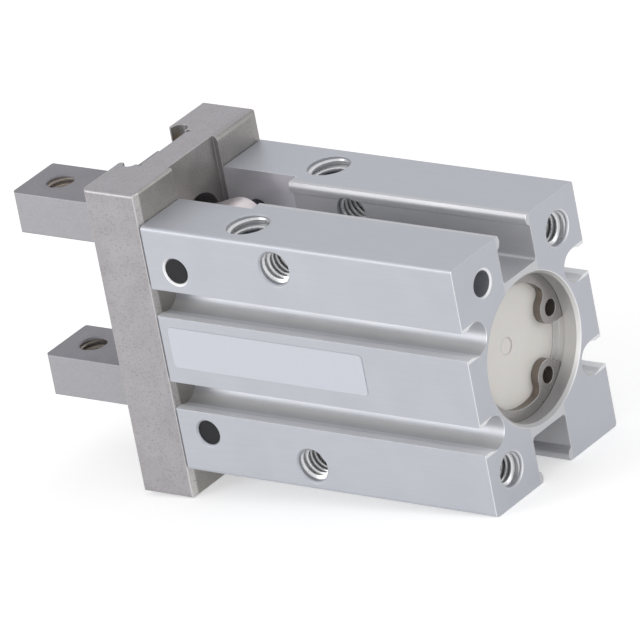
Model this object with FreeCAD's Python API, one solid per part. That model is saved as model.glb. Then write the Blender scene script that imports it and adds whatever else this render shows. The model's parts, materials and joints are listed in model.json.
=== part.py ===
import FreeCAD, Part
import math
import os

from FreeCAD import Vector

# A two-finger parallel air gripper. All sizes are in millimetres.
# The origin is the centre of the locating bore at the rear mounting face. The bore's axis is X,
# the fingers point to -X and open along Z, and the near side, with the label, faces -Y.

# Body block, cut from an extruded bar
body_length = 43.5
body_width = 23.6
body_height = 30.6
body_edge_radius = 0.4
body_front_chamfer = 0.15

# Open channel along the top and the bottom of the bar
channel_wall_over_bore = 1.55
channel_half_width = 3.2
channel_corner_radius = 0.5
lip_height = 1.3
lip_slope = 0.3
lip_root_half_width = 2.8
lip_nose_half_width = 2.55
lip_nose_radius = 0.8

# Sensor grooves along both sides
groove_radius = 2.0
groove_mouth_half_width = 1.7
groove_depth = 2.15
groove_height = 5.82

# Front pocket over each lever
pocket_half_width = 4.3
pocket_length = 10.5
pocket_corner_radius = 0.5

# Cylinder, from the rear face inwards
bore_radius = 8.0
locating_radius = 8.5
locating_depth = 2.1
locating_chamfer = 0.4
ring_groove_step = 0.5
ring_thickness = 1.0
ring_play = 0.05

# Snap ring
ring_band = 1.7
ring_groove_gap = 0.1
ring_lug_hole_radius = 1.0
ring_lug_radius = 1.85
ring_lug_distance = 6.85
ring_lug_angle = 33.8
ring_lug_fillet = 1.0
ring_gap_angle = 17.5
ring_turn = -19.5

# Cap
cap_clearance = 0.03
cap_thickness = 5.0
cap_edge_chamfer = 0.2
cap_nose_length = 1.4
cap_nose_step = 1.2
gate_mark_radius = 1.0
gate_mark_depth = 0.12
gate_mark_y = -0.85
gate_mark_z = 0.34

# Seals
seal_section_radius = 0.74
piston_seal_section_radius = 0.9
seal_gap = 0.02
seal_side_room = 0.1

# Piston, magnet and rod
piston_clearance = 0.05
piston_disc_length = 5.3
magnet_thickness = 2.0
magnet_recess = 0.4
magnet_hub_radius = 4.0
flange_length = 3.0
spigot_radius = 2.5
piston_end_gap = 0.4
rod_radius = 3.5
rod_clearance = 0.04
rod_neck_half_height = 0.95
rod_head_length = 1.4
press_clearance = 0.01

# Rubber bumpers at both ends of the cylinder
bumper_inner_radius = 4.4
bumper_width = 1.4
bumper_thickness = 1.1
bumper_proud = 0.3
front_relief_depth = 1.0
front_relief_width = 1.8
rod_seal_depth = 2.4

# Grip: distance between the gripping faces
grip_gap = 15.55
grip_gap_closed = 14.9
grip_gap_open = 20.9

# Bell-crank levers
lever_setback = 4.1
lever_rise = 0.6
lever_thickness = 3.8
lever_side_clearance = 0.3
lever_boss_radius = 2.9
lever_boss_clearance = 0.6
lever_neck_radius = 1.0
lever_inner_neck_radius = 0.6
lever_tip_radius = 1.4
lever_inner_tip_radius = 1.3
lever_tip_clearance = 0.03
lever_neck_clearance = 0.15
lever_engagement = 0.65
lever_tip_room = 0.2
lever_hole_clearance = 0.15
rod_relief = 0.5

# Lever shafts
shaft_radius = 1.5
shaft_running_clearance = 0.02
shaft_chamfer = 0.2
shaft_end_play = 0.4
shaft_upper_recess = 0.1
shaft_lower_recess = 0.32

# Guide block on the front
guide_thickness = 7.2
guide_height = 38.2
guide_side_step = 0.05
guide_rear_edge_depth = 0.2
guide_rear_edge_width = 1.1
guide_front_round = 0.35
guide_end_round = 0.4
guide_near_rear_round = 0.35
guide_far_rear_round = 0.8
guide_channel_half_width = 4.6
guide_channel_depth = 2.9
guide_channel_relief = 0.3
guide_recess_depth = 0.65

# Ball raceways, balls and their stoppers
raceway_radius = 0.8
raceway_setback = 1.4
ball_clearance = 0.02
ball_spacing = 0.04
balls_per_train = 4
counterbore_radius = 1.06
counterbore_offset = 0.27
stopper_sunk = 1.8
stopper_length = 1.5
stopper_clearance = 0.02
stopper_flat_gap = 0.05

# Fingers
finger_length = 17.55
finger_width = 7.86
finger_thickness = 5.15
finger_edge_round = 0.15
finger_tip_round = 0.45
finger_hole_setback = 4.0
slider_length = 16.85
slider_centre_gap = 0.4
slider_side_clearance = 0.1
slider_rear_clearance = 0.05
slider_corner_chamfer = 2.4

# Guide screws and dowels
screw_radius = 1.25
screw_clearance = 0.1
screw_head_radius = 2.25
screw_head_height = 2.5
screw_head_sunk = 0.2
screw_head_clearance = 0.2
screw_length = 8.0
screw_hole_spare = 1.5
screw_side = 8.3
socket_across_flats = 2.0
socket_sides = 6
socket_depth = 1.2
dowel_radius = 1.0
dowel_depth = 2.5
dowel_side = 6.6
dowel_height = 3.9

# Tapped holes: the wall stands at the thread's outer radius
m4_radius = 2.0
m5_radius = 2.5
thread_chamfer = 0.2
finger_thread_chamfer = 0.1
port_chamfer = 0.15
drill_tip_slope = 0.6
rear_thread_depth = 8.0
rear_thread_side = 7.8
rear_thread_height = 11.2
rear_pin_radius = 1.5
rear_pin_depth = 3.0
rear_pin_chamfer = 0.15
rear_pin_side = 6.85
rear_pin_height = 11.35
side_thread_setback = 25.1
side_thread_cover = 3.0
port_setback = 12.5
port_side = 7.8
port_depth = 4.0
passage_radius = 0.6

# Label
label_length = 27.3
label_height = 5.05
label_thickness = 0.06
label_front_margin = 1.2
label_rise = 0.375
label_corner_radius = 0.5

# Cutting tools reach this far past the faces they cut
over = 1.0

# Points nearer than this count as one point
same_point = 0.000001

# Main planes of the body
front_face = -body_length
side_face = body_width / 2
top_face = body_height / 2
channel_floor = bore_radius + channel_wall_over_bore
groove_y = side_face - groove_depth

# Rear end of the cylinder
ring_groove_radius = locating_radius + ring_groove_step
ring_groove_width = ring_thickness + 2 * ring_play
cap_face = -(locating_depth + ring_groove_width)
cap_inner_face = cap_face - cap_thickness
cap_radius = bore_radius - cap_clearance

# Planes of the guide block
guide_front = front_face - guide_thickness
guide_floor = guide_front + guide_channel_depth
guide_side = side_face - guide_side_step
guide_top = guide_height / 2
raceway_x = guide_front + raceway_setback

# Lever geometry: the forward arm drives the finger and the inward arm follows the rod
pivot_x = front_face + lever_setback
pivot_z = channel_floor + lever_rise
forward_arm = pivot_x - (guide_floor - slider_rear_clearance) + lever_engagement
inner_tip_height = rod_neck_half_height + lever_neck_clearance + lever_inner_tip_radius
inward_arm = pivot_z - inner_tip_height
middle_gap = (grip_gap_open + grip_gap_closed) / 2
open_travel = (grip_gap_open - grip_gap) / 2
close_travel = (grip_gap - grip_gap_closed) / 2
rest_angle = math.asin((grip_gap - middle_gap) / 2 / forward_arm)
open_angle = math.asin((grip_gap_open - middle_gap) / 2 / forward_arm)
rod_groove_x = pivot_x - inward_arm * math.sin(rest_angle)
rod_open_travel = inward_arm * (math.sin(open_angle) - math.sin(rest_angle))
rod_close_travel = inward_arm * (math.sin(rest_angle) + math.sin(open_angle))

# Piston and chamber along X
piston_length = piston_disc_length + magnet_thickness + flange_length
piston_rear = cap_inner_face - piston_end_gap - rod_close_travel
piston_front = piston_rear - piston_length
chamber_front = piston_front - rod_open_travel - piston_end_gap

# Fingers along Z
finger_inner = grip_gap / 2
slider_inner = slider_centre_gap / 2 + close_travel
slider_outer = slider_inner + slider_length
finger_slot_z = finger_inner + pivot_z - middle_gap / 2


def block(low, high):
    size = high.sub(low)
    return Part.makeBox(size.x, size.y, size.z, low)


def cylinder(radius, start, end):
    axis = end.sub(start)
    return Part.makeCylinder(radius, axis.Length, start, axis)


def cone(start_radius, end_radius, start, end):
    axis = end.sub(start)
    return Part.makeCone(start_radius, end_radius, axis.Length, start, axis)


def ring(outer_radius, inner_radius, start_x, end_x):
    outer = cylinder(outer_radius, Vector(start_x, 0, 0), Vector(end_x, 0, 0))
    inner = cylinder(inner_radius, Vector(start_x, 0, 0), Vector(end_x, 0, 0))
    return outer.cut(inner)


def round_seal(middle_radius, section_radius, x):
    return Part.makeTorus(middle_radius, section_radius, Vector(x, 0, 0), Vector(1, 0, 0))


def mirrored_top_to_bottom(shape):
    return shape.mirror(Vector(0, 0, 0), Vector(0, 0, 1))


def fused(shapes):
    whole = shapes[0]
    for shape in shapes[1:]:
        whole = whole.fuse(shape)
    return whole.removeSplitter()


def rounded_outline(corners):
    """Closed wire through (point, radius) corners; a radius of zero leaves a corner sharp."""
    starts = []
    ends = []
    arcs = []
    for index, (point, radius) in enumerate(corners):
        back = corners[index - 1][0].sub(point).normalize()
        ahead = corners[(index + 1) % len(corners)][0].sub(point).normalize()
        if radius == 0:
            starts.append(point)
            ends.append(point)
            continue
        half_angle = back.getAngle(ahead) / 2
        reach = radius / math.tan(half_angle)
        bisector = back.add(ahead).normalize()
        middle = point.add(bisector * (radius / math.sin(half_angle) - radius))
        starts.append(point.add(back * reach))
        ends.append(point.add(ahead * reach))
        arcs.append(Part.Arc(starts[-1], middle, ends[-1]).toShape())
    lines = []
    for index, end in enumerate(ends):
        following = starts[(index + 1) % len(starts)]
        if end.distanceToPoint(following) > same_point:
            lines.append(Part.LineSegment(end, following).toShape())
    return Part.Wire(Part.__sortEdges__(arcs + lines))


def prism(corners, travel):
    return Part.Face(rounded_outline(corners)).extrude(travel)


def rounded_bar(half_y, low_z, high_z, radius, start_x, end_x):
    """Bar along X whose four long edges are rounded."""
    corners = [
        (Vector(start_x, -half_y, low_z), radius),
        (Vector(start_x, half_y, low_z), radius),
        (Vector(start_x, half_y, high_z), radius),
        (Vector(start_x, -half_y, high_z), radius),
    ]
    return prism(corners, Vector(end_x - start_x, 0, 0))


def tapped_hole(radius, chamfer, mouth, inward, depth):
    """Blind hole with a chamfered mouth and a drilled tip; inward is a unit vector."""
    outside = mouth.sub(inward * over)
    bottom = mouth.add(inward * depth)
    tip = bottom.add(inward * (radius * drill_tip_slope))
    mouth_radius = radius + chamfer
    widest = mouth_radius + over
    return fused([
        cylinder(radius, outside, bottom),
        cone(radius, 0, bottom, tip),
        cone(widest, radius, outside, mouth.add(inward * chamfer)),
    ])


def tangent_arm(centre, centre_radius, tip, tip_radius, thickness):
    """Tapering arm in the XZ plane: two circles joined by their outer tangents."""
    along = tip.sub(centre)
    direction = Vector(along).normalize()
    lean = math.asin((centre_radius - tip_radius) / along.Length)
    across = Vector(0, 1, 0).cross(direction)
    upper = direction * math.sin(lean) + across * math.cos(lean)
    lower = direction * math.sin(lean) - across * math.cos(lean)
    back = centre.sub(direction * centre_radius)
    nose = tip.add(direction * tip_radius)
    edges = [
        Part.Arc(centre.add(lower * centre_radius), back, centre.add(upper * centre_radius)).toShape(),
        Part.LineSegment(centre.add(upper * centre_radius), tip.add(upper * tip_radius)).toShape(),
        Part.Arc(tip.add(upper * tip_radius), nose, tip.add(lower * tip_radius)).toShape(),
        Part.LineSegment(tip.add(lower * tip_radius), centre.add(lower * centre_radius)).toShape(),
    ]
    return Part.Face(Part.Wire(edges)).extrude(Vector(0, thickness, 0))


def top_channel():
    """Channel with a narrow lip at its mouth, along the whole bar."""
    lip_middle = top_face - lip_height / 2
    lip_foot = top_face - lip_height
    wall_top = lip_foot - lip_slope
    half = [
        (channel_half_width, channel_floor, channel_corner_radius),
        (channel_half_width, wall_top, 0),
        (lip_root_half_width, lip_foot, 0),
        (lip_nose_half_width, lip_middle, lip_nose_radius),
        (lip_root_half_width, top_face, 0),
        (lip_root_half_width, top_face + over, 0),
    ]
    corners = [(Vector(over, y, z), radius) for y, z, radius in half]
    corners += [(Vector(over, -y, z), radius) for y, z, radius in reversed(half)]
    return prism(corners, Vector(front_face - 2 * over, 0, 0))


def sensor_groove(side, level):
    """Round-bottomed groove along the bar, narrower at its mouth."""
    y = side * groove_y
    z = level * groove_height
    start = Vector(over, y, z)
    end = Vector(front_face - over, y, z)
    mouth_y = side * (side_face + over)
    low = Vector(front_face - over, min(y, mouth_y), z - groove_mouth_half_width)
    high = Vector(over, max(y, mouth_y), z + groove_mouth_half_width)
    return cylinder(groove_radius, start, end).fuse(block(low, high))


def front_pocket():
    """Pocket in the top channel that opens it out over the lever."""
    start_x = front_face - over
    end_x = front_face + pocket_length
    corners = [
        (Vector(start_x, -pocket_half_width, channel_floor), 0),
        (Vector(end_x, -pocket_half_width, channel_floor), pocket_corner_radius),
        (Vector(end_x, pocket_half_width, channel_floor), pocket_corner_radius),
        (Vector(start_x, pocket_half_width, channel_floor), 0),
    ]
    return prism(corners, Vector(0, 0, top_face + over - channel_floor))


def lever_cavity():
    """Slot for both levers and a round relief for the rod's head, open at the front."""
    rear = pivot_x + lever_boss_radius + lever_boss_clearance
    half_width = lever_thickness / 2 + lever_side_clearance
    slot_reach = channel_floor + over
    low = Vector(front_face - over, -half_width, -slot_reach)
    slot = block(low, Vector(rear, half_width, slot_reach))
    relief = cylinder(rod_radius + rod_relief, Vector(front_face - over, 0, 0), Vector(rear, 0, 0))
    return slot.fuse(relief)


def cylinder_bore():
    """Stepped bore: locating bore, ring groove, cylinder, bumper seat and rod bore."""
    gland_radius = rod_radius + 2 * (seal_section_radius + seal_gap)
    gland_start = chamber_front - rod_seal_depth
    gland_end = gland_start - 2 * (seal_section_radius + seal_side_room)
    seat_floor = chamber_front - (bumper_thickness - bumper_proud)
    bumper_outer = bumper_inner_radius + bumper_width
    relief_floor = chamber_front - front_relief_depth
    relief_inner = bore_radius - front_relief_width
    return fused([
        cone(
            locating_radius + locating_chamfer + over,
            locating_radius,
            Vector(over, 0, 0),
            Vector(-locating_chamfer, 0, 0),
        ),
        cylinder(locating_radius, Vector(over, 0, 0), Vector(-locating_depth, 0, 0)),
        cylinder(ring_groove_radius, Vector(-locating_depth, 0, 0), Vector(cap_face, 0, 0)),
        cylinder(bore_radius, Vector(0, 0, 0), Vector(chamber_front, 0, 0)),
        ring(bore_radius, relief_inner, chamber_front + over, relief_floor),
        ring(bumper_outer, bumper_inner_radius, chamber_front + over, seat_floor),
        cylinder(rod_radius + rod_clearance, Vector(chamber_front, 0, 0), Vector(front_face, 0, 0)),
        cylinder(gland_radius, Vector(gland_start, 0, 0), Vector(gland_end, 0, 0)),
    ])


def shaft_hole(level):
    """Cross hole for a lever shaft, chamfered on both sides."""
    z = level * pivot_z
    radius = shaft_radius + press_clearance
    wide = radius + shaft_chamfer + over
    parts = [cylinder(radius, Vector(pivot_x, -side_face - over, z), Vector(pivot_x, side_face + over, z))]
    for side in (-1, 1):
        outside = Vector(pivot_x, side * (side_face + over), z)
        inside = Vector(pivot_x, side * (side_face - shaft_chamfer), z)
        parts.append(cone(wide, radius, outside, inside))
    return fused(parts)


def side_thread(level):
    """Tapped cross hole through both rails beside the channel."""
    x = -side_thread_setback
    z = level * (top_face - side_thread_cover)
    wide = m4_radius + thread_chamfer + over
    parts = [cylinder(m4_radius, Vector(x, -side_face - over, z), Vector(x, side_face + over, z))]
    for side in (-1, 1):
        outside = Vector(x, side * (side_face + over), z)
        inside = Vector(x, side * (side_face - thread_chamfer), z)
        parts.append(cone(wide, m4_radius, outside, inside))
    return fused(parts)


def air_port(side, chamber_x):
    """Tapped air port in the top face with a drilled passage down to the cylinder wall."""
    port_x = front_face + port_setback
    mouth = Vector(port_x, side * port_side, top_face)
    port = tapped_hole(m5_radius, port_chamfer, mouth, Vector(0, 0, -1), port_depth)
    tip_z = top_face - port_depth - m5_radius * drill_tip_slope / 2
    start = Vector(port_x, side * port_side, tip_z)
    lean = math.atan2(groove_height, port_side - groove_radius)
    wall_y = side * (bore_radius - passage_radius / 2) * math.cos(lean)
    wall_z = (bore_radius - passage_radius / 2) * math.sin(lean)
    return port.fuse(cylinder(passage_radius, start, Vector(chamber_x, wall_y, wall_z)))


def rear_holes():
    """Two diagonal tapped holes and one dowel hole in the rear face."""
    inward = Vector(-1, 0, 0)
    upper = Vector(0, rear_thread_side, rear_thread_height)
    lower = Vector(0, -rear_thread_side, -rear_thread_height)
    pin = Vector(0, -rear_pin_side, rear_pin_height)
    return [
        tapped_hole(m4_radius, thread_chamfer, upper, inward, rear_thread_depth),
        tapped_hole(m4_radius, thread_chamfer, lower, inward, rear_thread_depth),
        tapped_hole(rear_pin_radius, rear_pin_chamfer, pin, inward, rear_pin_depth),
    ]


def screw_places():
    return [(-screw_side, 0), (screw_side, 0)]


def dowel_places():
    return [(-dowel_side, -dowel_height), (dowel_side, dowel_height)]


def guide_fixing_holes():
    """Tapped screw holes and dowel holes in the body's front face."""
    head_seat = guide_front + screw_head_height + screw_head_sunk
    screw_end = head_seat + screw_length + screw_hole_spare
    holes = []
    for y, z in screw_places():
        start = Vector(front_face - over, y, z)
        holes.append(cylinder(screw_radius + press_clearance, start, Vector(screw_end, y, z)))
    for y, z in dowel_places():
        start = Vector(front_face - over, y, z)
        end = Vector(front_face + dowel_depth, y, z)
        holes.append(cylinder(dowel_radius + press_clearance, start, end))
    return holes


def chamfered_front(bar):
    """The bar with a small chamfer round its front face."""
    front_edges = []
    for edge in bar.Edges:
        if abs(edge.BoundBox.XMax - front_face) < same_point:
            front_edges.append(edge)
    return bar.makeChamfer(body_front_chamfer, front_edges)


def make_body():
    plain_bar = rounded_bar(side_face, -top_face, top_face, body_edge_radius, 0, front_face)
    bar = chamfered_front(plain_bar)
    channel = top_channel()
    pocket = front_pocket()
    cuts = [channel, mirrored_top_to_bottom(channel), pocket, mirrored_top_to_bottom(pocket)]
    for side in (-1, 1):
        for level in (-1, 1):
            cuts.append(sensor_groove(side, level))
    for level in (-1, 1):
        cuts.append(shaft_hole(level))
        cuts.append(side_thread(level))
    cuts.append(cylinder_bore())
    cuts.append(lever_cavity())
    cuts.append(air_port(-1, chamber_front - front_relief_depth + passage_radius / 2))
    cuts.append(air_port(1, cap_inner_face + passage_radius))
    cuts += rear_holes()
    cuts += guide_fixing_holes()
    for cut in cuts:
        bar = bar.cut(cut)
    return bar


def guide_plan():
    """Plan outline of the guide at its lower end, without its ball raceways."""
    recess_floor = front_face - guide_recess_depth
    half = [
        (recess_floor, pocket_half_width, 0),
        (front_face, pocket_half_width, 0),
        (front_face, guide_side - guide_rear_edge_width, 0),
        (front_face - guide_rear_edge_depth, guide_side, 0),
        (guide_front, guide_side, guide_front_round),
        (guide_front, guide_channel_half_width, guide_front_round),
        (guide_floor, guide_channel_half_width, 0),
    ]
    corners = [(Vector(x, y, -guide_top), radius) for x, y, radius in half]
    corners += [(Vector(x, -y, -guide_top), radius) for x, y, radius in reversed(half)]
    return corners


def rear_edge_waste(side, level, radius):
    """What the rounding takes off the guide's rear edge at one end, on one side of the recess."""
    start_y = side * pocket_half_width
    end_y = side * (guide_side + over)
    outer_z = level * (guide_top + over)
    centre = Vector(front_face - radius, start_y, level * (guide_top - radius))
    corner = block(
        Vector(centre.x, min(start_y, end_y), min(centre.z, outer_z)),
        Vector(front_face + over, max(start_y, end_y), max(centre.z, outer_z)),
    )
    return corner.cut(cylinder(radius, centre, Vector(centre.x, end_y, centre.z)))


def guide_lever_hole(level):
    """Round hole through the guide's floor that clears a lever's forward arm in every pose."""
    taper = math.asin((lever_boss_radius - lever_neck_radius) / forward_arm)
    edge_angle = taper - open_angle
    recess_reach = lever_setback + guide_recess_depth
    edge_rise = lever_boss_radius / math.cos(edge_angle) - recess_reach * math.tan(edge_angle)
    radius = math.hypot(edge_rise, lever_thickness / 2) + lever_hole_clearance
    z = level * pivot_z
    return cylinder(radius, Vector(front_face + over, 0, z), Vector(guide_floor - over, 0, z))


def stopper_places():
    """Raceway ends: (side, level, whether the end is counterbored for a large stopper)."""
    return [(side, level, side == level) for side in (-1, 1) for level in (-1, 1)]


def stopper_axis(side, counterbored):
    offset = counterbore_offset if counterbored else 0
    return side * (guide_channel_half_width + offset)


def make_guide():
    block_shape = prism(guide_plan(), Vector(0, 0, guide_height))
    ends = rounded_bar(
        guide_side, -guide_top, guide_top, guide_end_round, front_face, guide_front
    )
    shape = block_shape.common(ends)
    for level in (-1, 1):
        shape = shape.cut(guide_lever_hole(level))
        shape = shape.cut(rear_edge_waste(-1, level, guide_near_rear_round))
        shape = shape.cut(rear_edge_waste(1, level, guide_far_rear_round))
    for side in (-1, 1):
        y = side * guide_channel_half_width
        bottom = Vector(raceway_x, y, -guide_top - over)
        shape = shape.cut(cylinder(raceway_radius, bottom, Vector(raceway_x, y, guide_top + over)))
        corner = Vector(guide_floor, y, -guide_top - over)
        shape = shape.cut(cylinder(guide_channel_relief, corner, Vector(guide_floor, y, guide_top + over)))
    depth = stopper_sunk + stopper_length
    for side, level, counterbored in stopper_places():
        if counterbored:
            y = stopper_axis(side, counterbored)
            start = Vector(raceway_x, y, level * (guide_top + over))
            end = Vector(raceway_x, y, level * (guide_top - depth))
            shape = shape.cut(cylinder(counterbore_radius, start, end))
    head_seat = guide_front + screw_head_height + screw_head_sunk
    head_hole = screw_head_radius + screw_head_clearance
    for y, z in screw_places():
        outside = Vector(guide_front - over, y, z)
        through = Vector(front_face + over, y, z)
        shape = shape.cut(cylinder(head_hole, outside, Vector(head_seat, y, z)))
        shape = shape.cut(cylinder(screw_radius + screw_clearance, outside, through))
    for y, z in dowel_places():
        start = Vector(front_face + over, y, z)
        end = Vector(front_face - dowel_depth, y, z)
        shape = shape.cut(cylinder(dowel_radius + press_clearance, start, end))
    return shape


def make_finger():
    """Upper finger: a slider in the guide's channel and a square post with one tapped hole."""
    half = guide_channel_half_width - slider_side_clearance
    rear = guide_floor - slider_rear_clearance
    chamfer = slider_corner_chamfer
    slider_corners = [
        (Vector(rear, -half, slider_inner), 0),
        (Vector(rear, half, slider_inner), 0),
        (Vector(rear, half, slider_outer - chamfer), 0),
        (Vector(rear, half - chamfer, slider_outer), 0),
        (Vector(rear, chamfer - half, slider_outer), 0),
        (Vector(rear, -half, slider_outer - chamfer), 0),
    ]
    slider = prism(slider_corners, Vector(guide_front - rear, 0, 0))
    tip_x = guide_front - finger_length
    root_x = guide_floor - guide_channel_depth / 2
    half_post = finger_width / 2
    post = rounded_bar(
        half_post, finger_inner, finger_inner + finger_thickness, finger_edge_round, root_x, tip_x
    )
    plan = [
        (Vector(root_x, -half_post, finger_inner), 0),
        (Vector(root_x, half_post, finger_inner), 0),
        (Vector(tip_x, half_post, finger_inner), finger_tip_round),
        (Vector(tip_x, -half_post, finger_inner), finger_tip_round),
    ]
    post = post.common(prism(plan, Vector(0, 0, finger_thickness)))
    shape = slider.fuse(post).removeSplitter()
    for side in (-1, 1):
        y = side * guide_channel_half_width
        raceway_end = Vector(raceway_x, y, guide_top + over)
        shape = shape.cut(cylinder(raceway_radius, Vector(raceway_x, y, 0), raceway_end))
    slot_half = lever_tip_radius + lever_tip_clearance
    slot_width = lever_thickness / 2 + lever_side_clearance
    slot_floor = rear - lever_engagement - lever_tip_radius - lever_tip_room
    low = Vector(slot_floor, -slot_width, finger_slot_z - slot_half)
    high = Vector(rear + over, slot_width, finger_slot_z + slot_half)
    shape = shape.cut(block(low, high))
    hole_x = tip_x + finger_hole_setback
    low_end = Vector(hole_x, 0, finger_inner)
    high_end = Vector(hole_x, 0, finger_inner + finger_thickness)
    wide = m4_radius + finger_thread_chamfer + over
    upward = Vector(0, 0, 1)
    low_wall = low_end.add(upward * finger_thread_chamfer)
    high_wall = high_end.sub(upward * finger_thread_chamfer)
    hole = fused([
        cylinder(m4_radius, low_end.sub(upward * over), high_end.add(upward * over)),
        cone(wide, m4_radius, low_end.sub(upward * over), low_wall),
        cone(wide, m4_radius, high_end.add(upward * over), high_wall),
    ])
    return shape.cut(hole)


def make_lever():
    """Upper bell-crank lever, turned to the angle of the drawn grip."""
    start_y = -lever_thickness / 2
    pivot = Vector(pivot_x, start_y, pivot_z)
    forward_tip = Vector(
        pivot_x - forward_arm * math.cos(rest_angle), start_y, pivot_z + forward_arm * math.sin(rest_angle)
    )
    inner_tip = Vector(
        pivot_x - inward_arm * math.sin(rest_angle), start_y, pivot_z - inward_arm * math.cos(rest_angle)
    )
    across = Vector(0, lever_thickness, 0)
    shape = fused([
        tangent_arm(pivot, lever_boss_radius, forward_tip, lever_neck_radius, lever_thickness),
        tangent_arm(pivot, lever_boss_radius, inner_tip, lever_inner_neck_radius, lever_thickness),
        cylinder(lever_tip_radius, forward_tip, forward_tip.add(across)),
        cylinder(lever_inner_tip_radius, inner_tip, inner_tip.add(across)),
    ])
    hole_radius = shaft_radius + shaft_running_clearance
    hole_start = Vector(pivot_x, start_y - over, pivot_z)
    hole_end = Vector(pivot_x, over - start_y, pivot_z)
    return shape.cut(cylinder(hole_radius, hole_start, hole_end))


def make_lever_shaft(level, recess):
    """Shaft pressed into the body; the recess is at the near side."""
    length = body_width - shaft_end_play
    start = Vector(pivot_x, -side_face + recess, level * pivot_z)
    return cylinder(shaft_radius, start, start.add(Vector(0, length, 0)))


def make_cap():
    nose_start = cap_inner_face + cap_nose_length
    chamfer_end = cap_face - cap_edge_chamfer
    groove_bottom = bore_radius - 2 * (seal_section_radius + seal_gap)
    seal_half = seal_section_radius + seal_side_room
    seal_x = cap_seal_x()
    shape = fused([
        cone(cap_radius - cap_edge_chamfer, cap_radius, Vector(cap_face, 0, 0), Vector(chamfer_end, 0, 0)),
        cylinder(cap_radius, Vector(chamfer_end, 0, 0), Vector(nose_start, 0, 0)),
        cylinder(bore_radius - cap_nose_step, Vector(nose_start, 0, 0), Vector(cap_inner_face, 0, 0)),
    ])
    shape = shape.cut(ring(bore_radius + over, groove_bottom, seal_x + seal_half, seal_x - seal_half))
    seat_floor = cap_inner_face + bumper_thickness - bumper_proud
    bumper_outer = bumper_inner_radius + bumper_width
    shape = shape.cut(ring(bumper_outer, bumper_inner_radius, cap_inner_face - over, seat_floor))
    mark = Vector(cap_face + over, gate_mark_y, gate_mark_z)
    mark_floor = Vector(cap_face - gate_mark_depth, gate_mark_y, gate_mark_z)
    return shape.cut(cylinder(gate_mark_radius, mark, mark_floor))


def cap_seal_x():
    """Middle of the cap's seal groove, half way along the cap's full diameter."""
    return cap_face - (cap_thickness - cap_nose_length) / 2


def make_cap_seal():
    return round_seal(bore_radius - seal_gap - seal_section_radius, seal_section_radius, cap_seal_x())


def make_cap_bumper():
    end = cap_inner_face - bumper_proud
    outer = bumper_inner_radius + bumper_width - press_clearance
    return ring(outer, bumper_inner_radius + press_clearance, end, end + bumper_thickness)


def make_rod_bumper():
    start = chamber_front + bumper_proud
    outer = bumper_inner_radius + bumper_width - press_clearance
    return ring(outer, bumper_inner_radius + press_clearance, start, start - bumper_thickness)


def make_rod_seal():
    x = chamber_front - rod_seal_depth - seal_section_radius - seal_side_room
    return round_seal(rod_radius + seal_gap + seal_section_radius, seal_section_radius, x)


def make_snap_ring():
    """Internal snap ring: a sprung band with two eyed lugs at its gap."""
    start_x = -locating_depth - ring_play
    end_x = start_x - ring_thickness
    outer_radius = ring_groove_radius - ring_groove_gap
    start = Vector(start_x, 0, 0)
    end = Vector(end_x, 0, 0)
    band = ring(outer_radius, outer_radius - ring_band, start_x, end_x)
    reach = outer_radius + over
    gap = prism(
        [
            (Vector(start_x + over, 0, 0), 0),
            (on_circle(start_x + over, reach / math.cos(math.radians(ring_gap_angle)), -ring_gap_angle), 0),
            (on_circle(start_x + over, reach / math.cos(math.radians(ring_gap_angle)), ring_gap_angle), 0),
        ],
        Vector(-ring_thickness - 2 * over, 0, 0),
    )
    shape = band.cut(gap)
    for side in (-1, 1):
        angle = side * ring_lug_angle
        eye = on_circle(start_x, ring_lug_distance, angle)
        eye_end = on_circle(end_x, ring_lug_distance, angle)
        lug = cylinder(ring_lug_radius, eye, eye_end)
        outward = on_circle(0, 1, angle)
        sideways = outward.cross(Vector(1, 0, 0)) * ring_lug_radius
        root = eye.add(outward * (outer_radius - ring_lug_distance))
        foot = prism(
            [
                (eye.add(sideways), 0),
                (root.add(sideways), 0),
                (root.sub(sideways), 0),
                (eye.sub(sideways), 0),
            ],
            Vector(-ring_thickness, 0, 0),
        )
        shape = shape.fuse(lug.fuse(foot)).fuse(lug_web(start_x, side))
    shape = shape.common(cylinder(outer_radius, start, end)).removeSplitter()
    for side in (-1, 1):
        angle = side * ring_lug_angle
        eye = on_circle(start_x + over, ring_lug_distance, angle)
        eye_end = on_circle(end_x - over, ring_lug_distance, angle)
        shape = shape.cut(cylinder(ring_lug_hole_radius, eye, eye_end))
    return shape


def lug_web(start_x, side):
    """Fillet between a lug and the ring's band, on the side away from the gap."""
    inner_radius = ring_groove_radius - ring_groove_gap - ring_band
    centre_distance = inner_radius - ring_lug_fillet
    lug_distance = ring_lug_radius + ring_lug_fillet
    squares = centre_distance**2 + ring_lug_distance**2 - lug_distance**2
    turn = math.degrees(math.acos(squares / (2 * centre_distance * ring_lug_distance)))
    centre_angle = side * (ring_lug_angle + turn)
    eye_angle = side * ring_lug_angle
    centre = on_circle(start_x, centre_distance, centre_angle)
    in_band = inner_radius + ring_band / 2
    web = prism(
        [
            (on_circle(start_x, ring_lug_distance, eye_angle), 0),
            (centre, 0),
            (on_circle(start_x, in_band, centre_angle), 0),
            (on_circle(start_x, in_band, eye_angle), 0),
        ],
        Vector(-ring_thickness, 0, 0),
    )
    return web.cut(cylinder(ring_lug_fillet, centre, centre.sub(Vector(ring_thickness, 0, 0))))


def on_circle(x, radius, angle):
    """Point on a circle about the X axis; the angle is counted from the middle of the ring's gap."""
    turn = math.radians(ring_turn + angle)
    return Vector(x, radius * math.cos(turn), radius * math.sin(turn))


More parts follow.
